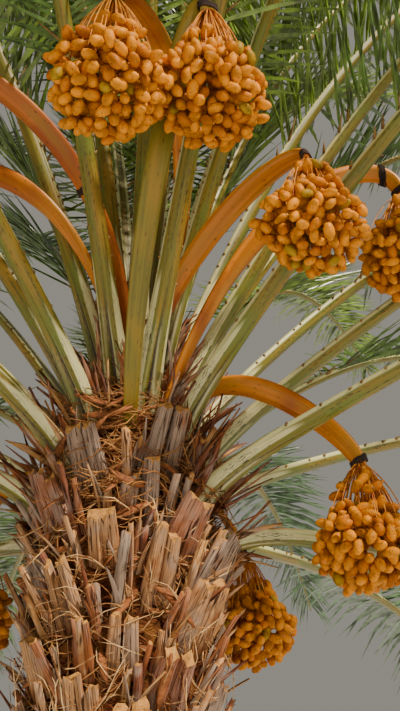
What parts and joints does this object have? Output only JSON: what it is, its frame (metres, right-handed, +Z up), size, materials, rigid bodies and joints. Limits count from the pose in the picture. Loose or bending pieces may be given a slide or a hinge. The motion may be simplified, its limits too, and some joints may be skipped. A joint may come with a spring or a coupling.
{
  "type": "date palm tree",
  "caption": "Whole date palm: trunk shingled with cut leaf bases, arching feather fronds, and date bunches that hang from flat orange stalks.",
  "frame": {"origin": "middle of the flat cut under the trunk, at ground level", "axes": "+Z up along the trunk; -Y is the side that people pass, where the low fronds are cut off"},
  "size_m": [7.4837, 6.9185, 5.7134],
  "materials": {
    "trunk": "weathered leaf bases and fibre, matte",
    "frond": "waxy leaf, satin",
    "stalk": "smooth living rind, satin",
    "dates": "smooth fruit skin, satin"
  },
  "bodies": {
    "root": {"date_bunch_back": "dates", "date_bunch_back_right": "dates", "date_bunch_front_left": "dates", "date_bunch_front_mid": "dates", "date_bunch_left_high": "dates", "date_bunch_left_low": "dates", "date_bunch_left_mid": "dates", "date_bunch_right_far": "dates", "date_bunch_right_high": "dates", "date_bunch_right_low": "dates", "frond_01": "frond", "frond_02": "frond", "frond_04": "frond", "frond_05": "frond", "frond_06": "frond", "frond_07": "frond", "frond_09": "frond", "frond_10": "frond", "frond_12": "frond", "frond_13": "frond", "frond_14": "frond", "frond_15": "frond", "frond_17": "frond", "frond_18": "frond", "frond_19": "frond", "frond_20": "frond", "frond_21": "frond", "frond_22": "frond", "frond_23": "frond", "frond_24": "frond", "frond_25": "frond", "frond_26": "frond", "frond_27": "frond", "frond_28": "frond", "frond_29": "frond", "frond_30": "frond", "frond_31": "frond", "frond_32": "frond", "frond_33": "frond", "frond_34": "frond", "frond_35": "frond", "frond_36": "frond", "frond_37": "frond", "frond_38": "frond", "frond_39": "frond", "frond_40": "frond", "frond_41": "frond", "fruit_stalk_back": "stalk", "fruit_stalk_back_right": "stalk", "fruit_stalk_front_left": "stalk", "fruit_stalk_front_mid": "stalk", "fruit_stalk_left_high": "stalk", "fruit_stalk_left_low": "stalk", "fruit_stalk_left_mid": "stalk", "fruit_stalk_right_far": "stalk", "fruit_stalk_right_high": "stalk", "fruit_stalk_right_low": "stalk", "heart_fronds": "frond", "trunk": "trunk"}
  },
  "joints": []
}
